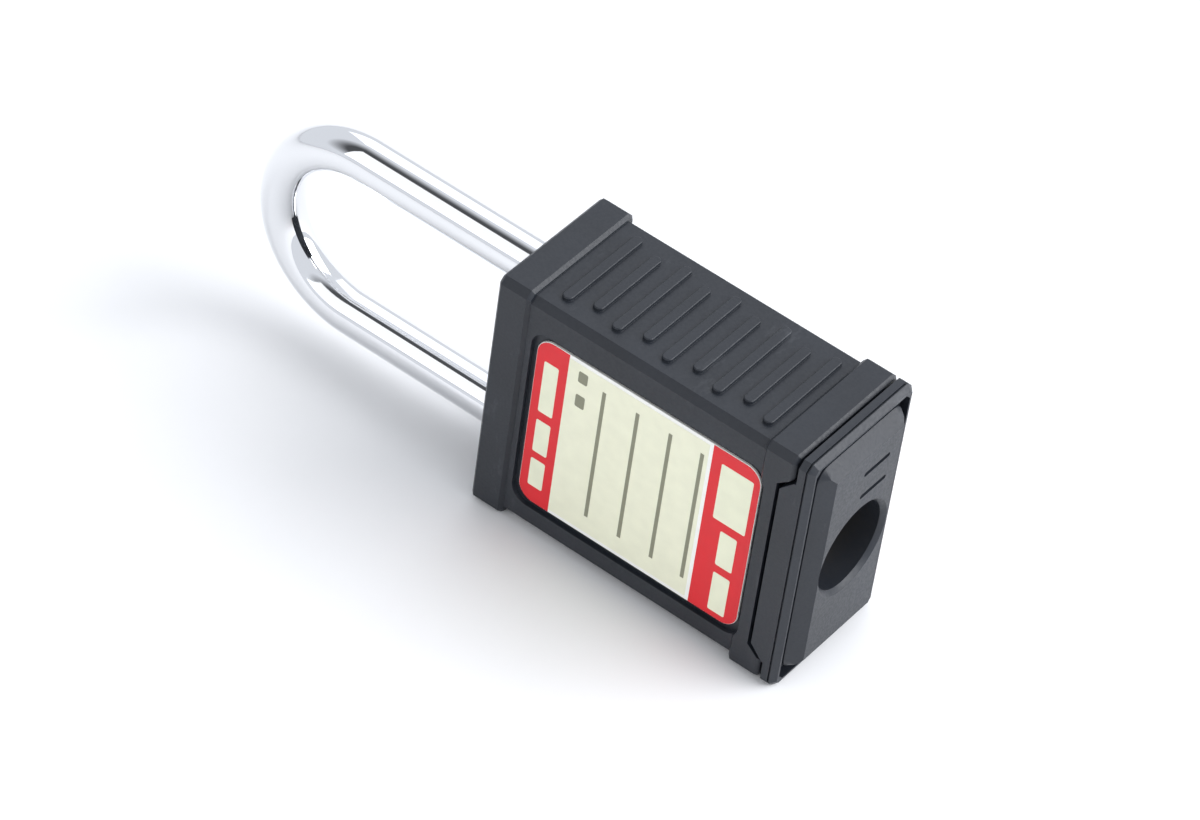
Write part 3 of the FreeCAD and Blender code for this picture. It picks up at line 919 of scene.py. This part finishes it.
@dataclass
class EndCover:
    """The key-end cover: rim, groove, raised plate with the key hole, tongues and spigot."""

    rim_u: Span = (45.45, 47.5)
    half_w: float = 19.0
    half_t: float = 10.5
    edge_bevel: float = 0.9
    rim_bevel: float = 0.7
    line_u: float = 46.6
    line: float = 0.25
    moat_in: float = 1.0
    moat_wide: float = 0.9
    moat_deep: float = 1.2
    plate_u: float = 48.9
    margin: float = 1.8
    margin_fall: float = 1.7
    corner_radius: float = 2.0
    corner_steps: int = 4
    key_z: float = KEY_Z
    key_hole_r: float = 6.3
    key_mouth: float = 0.6
    key_sides: int = 72
    mark_z: Span = (27.4, 31.2)
    mark_y: float = 2.0
    mark_length: float = 5.3
    mark_wide: float = 0.7
    mark_deep: float = 0.35
    mark_sides: int = 20
    spigot_u: Span = (43.1, 45.95)
    spigot_half_t: float = 7.35
    spigot_half_w: float = 17.0
    tongue_u: Span = (43.35, 45.2)
    tongue_half: Span = (13.35, 15.35)
    tongue_floor: float = 6.85
    insert_z: float = 32.0
    insert_r: float = 2.1
    insert_u: Span = (43.6, 47.0)
    screw_hole_r: float = 1.45
    screw_sides: int = 32
    small_radius: float = 0.13
    over: float = 1.0

    def build(self) -> Piece:
        """Model the cover.

        Returns:
            The finished piece.
        """
        cover = bar("end_cover_moulding", self.rim_u, self.half_t, self.half_w, self.edge_bevel)
        bevel_end(cover, Axis.X, DATUM.point(self.rim_u[1], 0, 0).x, self.rim_bevel)
        moat = bar("moat", (self.rim_u[1] - self.moat_deep, self.rim_u[1] + self.over),
                   self.half_t - self.moat_in, self.half_w - self.moat_in, self.edge_bevel)
        combine(cover, moat, Join.CUT)
        combine(cover, self.groove(), Join.CUT)
        combine(cover, self.plate(), Join.ADD)
        spigot = bar("spigot", self.spigot_u, self.spigot_half_t, self.spigot_half_w, self.edge_bevel)
        combine(cover, spigot, Join.ADD)
        for side in Side:
            combine(cover, self.tongue(side), Join.ADD)
        self.bore(cover)
        for z in self.mark_z:
            combine(cover, self.mark(z), Join.CUT)
        close_up(cover)
        soften(cover, self.small_radius)
        smooth(cover)
        return cover

    def groove(self) -> Piece:
        """Model the fine line that runs round the rim.

        Returns:
            The cutter.
        """
        u = (self.line_u - self.line / 2, self.line_u + self.line / 2)
        ring = bar("groove", u, self.half_t + self.over, self.half_w + self.over, self.over)
        inside = bar("groove_floor", self.rim_u, self.half_t - self.line, self.half_w - self.line,
                     self.edge_bevel)
        combine(ring, inside, Join.CUT)
        return ring

    def plate(self) -> Piece:
        """Model the raised plate with its broad sloping margin.

        Returns:
            The plate.
        """
        inset = self.moat_in + self.moat_wide
        half_t, half_w = self.half_t - inset, self.half_w - inset
        u = (self.rim_u[1] - self.moat_deep - self.over / 2, self.plate_u - self.margin_fall)
        piece = block("plate", u, (-half_t, half_t), (CENTRE_Z - half_w, CENTRE_Z + half_w))
        pick(piece, Pick.FACES, lambda face: face.normal.x > SQUARE_ON)
        bpy.ops.mesh.inset(thickness=self.margin * MM, depth=self.margin_fall * MM)
        put_down()
        round_along(piece, Axis.X, self.corner_radius, self.corner_steps)
        return piece

    def tongue(self, side: Side) -> Piece:
        """Model the tongue that reaches down one face of the body.

        Args:
            side: the face it is on.

        Returns:
            The tongue.
        """
        piece = flared("tongue", side, self.tongue_u, (self.tongue_floor, self.half_t), self.tongue_half)
        pick(piece, Pick.FACES, lambda face: face.normal.x > SQUARE_ON)
        reach = self.rim_u[0] - self.tongue_u[1] + self.over / 2
        bpy.ops.mesh.extrude_region_move(TRANSFORM_OT_translate={"value": (reach * MM, 0, 0)})
        put_down()
        return piece

    def bore(self, cover: Piece) -> None:
        """Cut the key hole with its mouth, and the seat of the screw's insert.

        Args:
            cover: the cover.
        """
        start = self.spigot_u[0] - self.over
        hole = rod("key_hole", Axis.X, DATUM.point(start, 0, self.key_z), self.plate_u + self.over - start,
                   self.key_hole_r, self.key_sides)
        mouth = rod("key_mouth", Axis.X, DATUM.point(self.plate_u - self.key_mouth, 0, self.key_z),
                    2 * self.key_mouth, self.key_hole_r, self.key_sides,
                    self.key_hole_r + 2 * self.key_mouth)
        seat = rod("insert_seat", Axis.X, DATUM.point(self.insert_u[0], 0, self.insert_z),
                   self.insert_u[1] - self.insert_u[0], self.insert_r, self.screw_sides)
        way = rod("screw_way", Axis.X, DATUM.point(start, 0, self.insert_z),
                  self.insert_u[0] - start + self.over / 2, self.screw_hole_r, self.screw_sides)
        for tool in (hole, mouth, seat, way):
            combine(cover, tool, Join.CUT)

    def mark(self, z: float) -> Piece:
        """Model one plain slot in the plate, with round ends.

        Args:
            z: its height.

        Returns:
            The cutter.
        """
        start = DATUM.point(self.plate_u - self.mark_deep, self.mark_y, z)
        piece = rod("mark", Axis.X, start, self.mark_deep + self.over, self.mark_wide / 2, self.mark_sides)
        lengthen(piece, self.mark_y, (self.mark_length - self.mark_wide) / 2)
        return piece

    def dress(self, piece: Piece, material: Material) -> None:
        """Give the cover its finish and its place in the frame."""
        fit_out(piece, material, "case", "cover_nylon", "end_cover")


# ---------------------------------------------------------------- the shackle


@dataclass
class Shackle:
    """The chromed rod: bow, toe leg and the longer heel leg with its neck and head."""

    radius: float = 3.0
    leg_z: Span = (6.0, 32.0)
    bend_u: float = -28.0
    toe_end_u: float = 12.1
    heel_end_u: float = 32.4
    neck_u: Span = (14.35, 29.4)
    neck_r: float = 2.0
    neck_slope: float = 0.25
    end_bevel: float = 0.6
    notch_u: Span = (3.8, 7.35)
    notch_bite: float = 1.75
    notch_rise: float = 6.0 / 12.6
    sides: int = 64
    bow_steps: int = 72
    sharp_over: float = 35.0
    over: float = 0.5

    def build(self) -> Piece:
        """Model the shackle.

        Returns:
            The finished piece.
        """
        put_down()
        heel, toe = self.leg_z
        bpy.ops.mesh.primitive_circle_add(vertices=self.sides, radius=(self.radius - self.end_bevel) * MM,
                                          fill_type="NGON", location=DATUM.point(self.heel_end_u, 0, heel),
                                          rotation=(0.0, -math.pi / 2, 0.0))
        piece = settle("shackle_rod")
        stations = ((self.heel_end_u - self.end_bevel, self.radius),
                    (self.neck_u[1], self.radius),
                    (self.neck_u[1] - self.neck_slope, self.neck_r),
                    (self.neck_u[0] + self.neck_slope, self.neck_r),
                    (self.neck_u[0], self.radius),
                    (self.bend_u, self.radius))
        u, radius = self.heel_end_u, self.radius - self.end_bevel
        for next_u, next_radius in stations:
            self.draw_out(piece, heel, (u, next_u), next_radius / radius)
            u, radius = next_u, next_radius
        self.bend(piece)
        self.draw_out(piece, toe, (self.bend_u, self.toe_end_u - self.end_bevel), 1.0)
        shrink = (self.radius - self.end_bevel) / self.radius
        self.draw_out(piece, toe, (self.toe_end_u - self.end_bevel, self.toe_end_u), shrink)
        pick(piece, Pick.VERTS, lambda vert: True)
        bpy.ops.mesh.remove_doubles(threshold=0.001 * MM)
        bpy.ops.mesh.normals_make_consistent(inside=False)
        put_down()
        for leg_z, inward in ((heel, 1), (toe, -1)):
            combine(piece, self.notch(leg_z, inward), Join.CUT)
        smooth(piece, self.sharp_over)
        return piece

    def draw_out(self, piece: Piece, leg_z: float, u: Span, factor: float) -> None:
        """Extrude the rod's open end along its leg and resize it.

        Args:
            piece: the rod.
            leg_z: the leg's height.
            u: where the end is, and where it goes.
            factor: the change of its radius.
        """
        level = DATUM.point(u[0], 0, 0).x
        split = CENTRE_Z * MM

        def at_end(face: bmesh.types.BMFace) -> bool:
            """Return whether a face closes the open end of this leg."""
            same_leg = (face.calc_center_median().z > split) == (leg_z * MM > split)
            return same_leg and all(abs(v.co.x - level) < NEAR for v in face.verts)

        pick(piece, Pick.FACES, at_end)
        bpy.ops.mesh.extrude_region_move(TRANSFORM_OT_translate={"value": ((u[1] - u[0]) * MM, 0, 0)})
        bpy.ops.transform.resize(value=(1, factor, factor), center_override=DATUM.point(u[1], 0, leg_z))
        put_down()

    def bend(self, piece: Piece) -> None:
        """Spin the heel leg's end round the bow to the toe leg.

        Args:
            piece: the rod.
        """
        level = DATUM.point(self.bend_u, 0, 0).x
        pick(piece, Pick.FACES, lambda face: all(abs(v.co.x - level) < NEAR for v in face.verts))
        bpy.ops.mesh.spin(steps=self.bow_steps, angle=-math.pi, axis=(0, 1, 0),
                          center=DATUM.point(self.bend_u, 0, CENTRE_Z))
        put_down()

    def notch(self, leg_z: float, inward: int) -> Piece:
        """Model the bite that a bolt locks in, with its ramp.

        Args:
            leg_z: the leg's height.
            inward: the sign of the direction to the other leg.

        Returns:
            The cutter.
        """
        bed = leg_z + inward * (self.radius - self.notch_bite)
        outside = leg_z + inward * (self.radius + self.over)
        z = sorted((bed, outside))
        half = self.radius + self.over
        piece = block("notch", self.notch_u, (-half, half), (z[0], z[1]))
        run = abs(outside - bed) / self.notch_rise
        level = DATUM.point(self.notch_u[1], 0, 0).x
        pick(piece, Pick.VERTS,
             lambda vert: abs(vert.co.x - level) < NEAR and abs(vert.co.z - outside * MM) < NEAR)
        bpy.ops.transform.translate(value=(run * MM, 0, 0))
        put_down()
        return piece

    def dress(self, piece: Piece, material: Material) -> None:
        """Give the shackle its finish and its place in the frame."""
        fit_out(piece, material, "shackle", "shackle_chrome", "shackle")


# ---------------------------------------------------------------- the labels


@dataclass
class Label:
    """One write-on label: a white film with a cream panel, red bands, rules and plain blocks."""

    side: Side
    film_u: Span = (6.4, 40.4)
    film_z: Span = (4.9, 32.0)
    floor: float = 9.3
    film_thick: float = 0.4
    corner: float = 2.4
    corner_steps: int = 10
    print_steps: int = 8
    ink: float = 0.02
    border: float = 0.55
    header_u: Span = (6.4, 11.2)
    strip_u: Span = (33.1, 40.4)
    box_u: Span = (34.6, 39.4)
    box_z: Span = (20.7, 29.8)
    block_corner: float = 0.25
    rule_u: tuple[float, ...] = (16.8, 21.9, 26.9, 31.7)
    rule_z: Span = (8.1, 29.4)
    rule_wide: float = 0.55
    word_u: Span = (36.0, 38.5)
    word_z: tuple[Span, ...] = ((5.9, 12.3), (13.6, 19.3))
    caption_u: Span = (12.8, 14.2)
    caption_z: tuple[Span, ...] = ((28.6, 30.4), (24.6, 26.6))
    title_u: Span = (7.7, 9.9)
    title_z: tuple[Span, ...] = ((7.6, 12.2), (13.4, 18.8), (20.2, 28.6))
    small_radius: float = 0.08

    def sheet(self, name: str, u: Span, z: Span, layer: int, radius: float = 0.0,
              where: Callable[[Vector], bool] = lambda place: True) -> Piece:
        """Model one flat print, raised by the ink's thickness for each layer.

        Args:
            name: the print's name.
            u: its limits along the body.
            z: its limits in height.
            layer: the number of inks up to its top.
            radius: the radius of its corners.
            where: says of a corner's place whether it is rounded.

        Returns:
            The print.
        """
        top = self.floor + self.film_thick
        piece = face_block(name, self.side, u, (top - self.ink, top + layer * self.ink), z)
        if radius:
            round_along(piece, Axis.Y, radius, self.print_steps, where)
        return piece

    def film(self) -> Piece:
        """Model the film.

        Returns:
            The film.
        """
        depth = (self.floor, self.floor + self.film_thick)
        piece = face_block(self.name("film"), self.side, self.film_u, depth, self.film_z)
        round_along(piece, Axis.Y, self.corner, self.corner_steps)
        soften(piece, self.small_radius)
        smooth(piece)
        return piece

    def name(self, part: str) -> str:
        """Return the full name of one of the label's pieces."""
        return "%s_label_%s" % (self.side.name.lower(), part)

    def red(self) -> Piece:
        """Model the red bands at the two ends.

        Returns:
            The bands, as one object.
        """
        z = (self.film_z[0] + self.small_radius, self.film_z[1] - self.small_radius)
        reach = self.corner - self.small_radius
        strip_u = (self.strip_u[0], self.strip_u[1] - self.small_radius)
        header_u = (self.header_u[0] + self.small_radius, self.header_u[1])
        middle_x = DATUM.point(sum(self.strip_u) / 2, 0, 0).x
        strip = self.sheet("strip", strip_u, z, 1, reach, lambda place: place.x > middle_x)
        middle_x = DATUM.point(sum(self.header_u) / 2, 0, 0).x
        header = self.sheet("header", header_u, z, 1, reach, lambda place: place.x < middle_x)
        return gather([strip, header], self.name("red_bands"))

    def build(self) -> dict[str, Piece]:
        """Model the label.

        Returns:
            Its pieces, by the name of their ink.
        """
        panel_u = (self.header_u[1], self.strip_u[0] - self.border)
        panel_z = (self.film_z[0] + self.border, self.film_z[1] - self.border)
        panel = self.sheet(self.name("cream_panel"), panel_u, panel_z, 1)
        rules = [self.sheet("rule", (u - self.rule_wide / 2, u + self.rule_wide / 2), self.rule_z, 2)
                 for u in self.rule_u]
        captions = [self.sheet("caption", self.caption_u, z, 2, self.block_corner) for z in self.caption_z]
        blocks = [self.sheet("block", u, z, 2, self.block_corner)
                  for u, spans in ((self.word_u, self.word_z), (self.title_u, self.title_z),
                                   (self.box_u, (self.box_z,))) for z in spans]
        return {"film": self.film(), "cream": panel, "red": self.red(),
                "grey": gather(rules + captions, self.name("rules")),
                "white": gather(blocks, self.name("white_blocks"))}

    def dress(self, pieces: dict[str, Piece], materials: dict[str, Material]) -> None:
        """Give the label's pieces their inks and their place in the frame.

        Args:
            pieces: the pieces, by the name of their ink.
            materials: the inks, by name.
        """
        for ink, piece in pieces.items():
            nodes = ("%s_label" % self.side.name.lower(),) if ink == "film" else ()
            fit_out(piece, materials[ink], "case", "label_vinyl", *nodes)


# ---------------------------------------------------------------- the works


@dataclass
class Works:
    """The metal parts inside, which keep their shapes and get their finishes."""

    finishes: dict[str, tuple[str, ...]] = field(default_factory=lambda: {
        "cast": ("lock_case",),
        "plated": ("bolt_cover", "retaining_pin", "housing_pin"),
        "ground": ("heel_bolt", "toe_bolt", "driver"),
        "brass": ("cylinder_housing", "chamber_cover", "plug", "cover_insert"),
        "pins": ("key_pins", "driver_pins"),
        "wire": ("plug_clip", "pin_springs", "shackle_spring"),
        "black": ("cover_screw",),
    })

    def materials(self) -> dict[str, Material]:
        """Make the finishes.

        Returns:
            The materials, by the names in finishes.
        """
        made = {
            "cast": CastAlloy("die_cast_zinc_alloy", "A9ACB0"),
            "plated": WorkedSteel.worked("zinc_plated_steel", "B9BEC6", Axis.Y, (0.22, 0.38)),
            "ground": WorkedSteel.worked("ground_tool_steel", "9C9C9E", Axis.Z, (0.2, 0.34)),
            "brass": TurnedMetal("turned_brass", "B99A5B", "6E5732"),
            "pins": TurnedMetal("bright_pin_brass", "D2B26A", "9A7C43"),
            "wire": WorkedSteel.worked("drawn_spring_wire", "8E8F92", Axis.X, (0.24, 0.36)),
            "black": WorkedSteel.worked("black_oxide_steel", "2F3032", Axis.X, (0.35, 0.5)),
        }
        return {name: finish.make() for name, finish in made.items()}

    def dress(self) -> None:
        """Give each part its finish."""
        materials = self.materials()
        for finish, names in self.finishes.items():
            for name in names:
                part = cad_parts[name]
                if not part.material_slots:
                    part.data.materials.append(materials[finish])
                part.material_slots[0].material = materials[finish]
                log.info("%s: %s", name, finish)


# ---------------------------------------------------------------- the studio


@dataclass(frozen=True)
class Softbox:
    """A square soft light that looks at the padlock."""

    name: str
    azimuth: float
    elevation: float
    distance: float
    size: float
    power: float
    colour: str = "FFFFFF"

    def hang(self, aim: Vector) -> None:
        """Put the light up.

        Args:
            aim: the point it looks at.
        """
        turn, rise = math.radians(self.azimuth), math.radians(self.elevation)
        away = Vector((math.sin(turn) * math.cos(rise), -math.cos(turn) * math.cos(rise), math.sin(rise)))
        lamp = bpy.data.lights.new(self.name, "AREA")
        lamp.shape = "SQUARE"
        lamp.size = self.size
        lamp.energy = self.power
        lamp.color = linear(self.colour)[:3]
        light = bpy.data.objects.new(self.name, lamp)
        light.location = aim + away * self.distance
        light.rotation_euler = away.to_track_quat("Z", "Y").to_euler()
        bpy.context.scene.collection.objects.link(light)


@dataclass
class Studio:
    """White paper, soft light and the camera."""

    floor_size: float = 6.0
    sky: str = "F4F8FF"
    sky_gap: str = "101114"
    sky_strength: float = 0.9
    camera_at: tuple[float, float, float] = (0.27894, -0.43673, 0.51158)
    camera_aim: tuple[float, float, float] = (0.00834, -0.00046, 0.01579)
    lens: float = 173.56
    roll: float = 8.7
    clip: Span = (0.01, 20.0)
    dark_way: tuple[float, float, float] = (-0.25, -0.55, 0.79)
    dark_spread: Span = (0.72, 0.9)
    dark_share: float = 0.9
    boxes: tuple[Softbox, ...] = (
        Softbox("key_light", 118.0, 34.0, 0.9, 0.85, 10.0, "FBFCFF"),
        Softbox("front_light", -15.0, 38.0, 1.0, 0.9, 3.0, "FBFCFF"),
        Softbox("back_light", 208.0, 42.0, 1.2, 0.9, 1.8, "F6F9FF"),
    )

    def lay_floor(self) -> None:
        """Lay the paper that the padlock rests on."""
        put_down()
        low, _ = cad_box
        bpy.ops.mesh.primitive_plane_add(size=self.floor_size, location=(0, 0, low.z))
        floor = settle("studio_paper")
        floor.data.materials.append(StudioPaper("studio_paper", "F4F4F4").make())

    def light(self) -> None:
        """Set the sky and hang the lights."""
        world = bpy.data.worlds.new("studio")
        world.use_nodes = True
        tree = world.node_tree
        tree.nodes.clear()
        way = add(tree, "ShaderNodeTexCoord").outputs["Generated"]
        towards = add(tree, "ShaderNodeVectorMath", {"operation": "DOT_PRODUCT"}, in_0=way,
                      in_1=Vector(self.dark_way).normalized())
        share = add(tree, "ShaderNodeMapRange", Value=towards.outputs["Value"],
                    From_Min=self.dark_spread[0], From_Max=self.dark_spread[1], To_Max=self.dark_share)
        colour = add(tree, "ShaderNodeMix", {"data_type": "RGBA"}, Factor=share,
                     in_6=linear(self.sky), in_7=linear(self.sky_gap))
        sky = add(tree, "ShaderNodeBackground", Color=colour.outputs[2], Strength=self.sky_strength)
        add(tree, "ShaderNodeOutputWorld", Surface=sky)
        bpy.context.scene.world = world
        for softbox in self.boxes:
            softbox.hang(Vector(self.camera_aim))

    def set_camera(self) -> None:
        """Set up the camera, tilted a little about its own line of sight."""
        data = bpy.data.cameras.new("camera")
        data.lens = self.lens
        data.clip_start, data.clip_end = self.clip
        camera = bpy.data.objects.new("camera", data)
        camera.location = self.camera_at
        back = Vector(self.camera_at) - Vector(self.camera_aim)
        level = back.to_track_quat("Z", "Y")
        camera.rotation_euler = (level @ Euler((0, 0, math.radians(self.roll))).to_quaternion()).to_euler()
        bpy.context.scene.collection.objects.link(camera)
        bpy.context.scene.camera = camera

    def build(self) -> None:
        """Build the whole studio."""
        self.lay_floor()
        self.light()
        self.set_camera()
        bpy.context.scene.view_settings.view_transform = "Standard"


def main() -> None:
    """Build the padlock's looks and the studio, and report each piece."""
    logging.basicConfig(level=logging.INFO, format="%(message)s")
    nylon = MouldedNylon("satin_moulded_nylon", "1E2229").make()
    # the cover is the same nylon as the body; its colour is painted a shade lighter as painted light,
    # standing in for the key light on the end plate
    cover_nylon = MouldedNylon("satin_cover_nylon", "20242B").make()
    chrome = ChromePlate("polished_chrome_plate", "E9EAEC").make()
    inks = {
        "film": PrintedVinyl("white_vinyl_film", "F6F6F0").make(),
        "cream": PrintedVinyl("cream_write_on_ink", "EDEDD3").make(),
        "red": PrintedVinyl("red_screen_ink", "DC0A1C").make(),
        "grey": PrintedVinyl("grey_screen_ink", "85856F").make(),
        "white": PrintedVinyl("white_screen_ink", "EAEBD0").make(),
    }
    for part, material in ((BodyMoulding(), nylon), (EndCover(), cover_nylon), (Shackle(), chrome)):
        part.dress(part.build(), material)
    for side in Side:
        label = Label(side)
        label.dress(label.build(), inks)
    Works().dress()
    Studio().build()


if __name__ == "__main__":
    main()
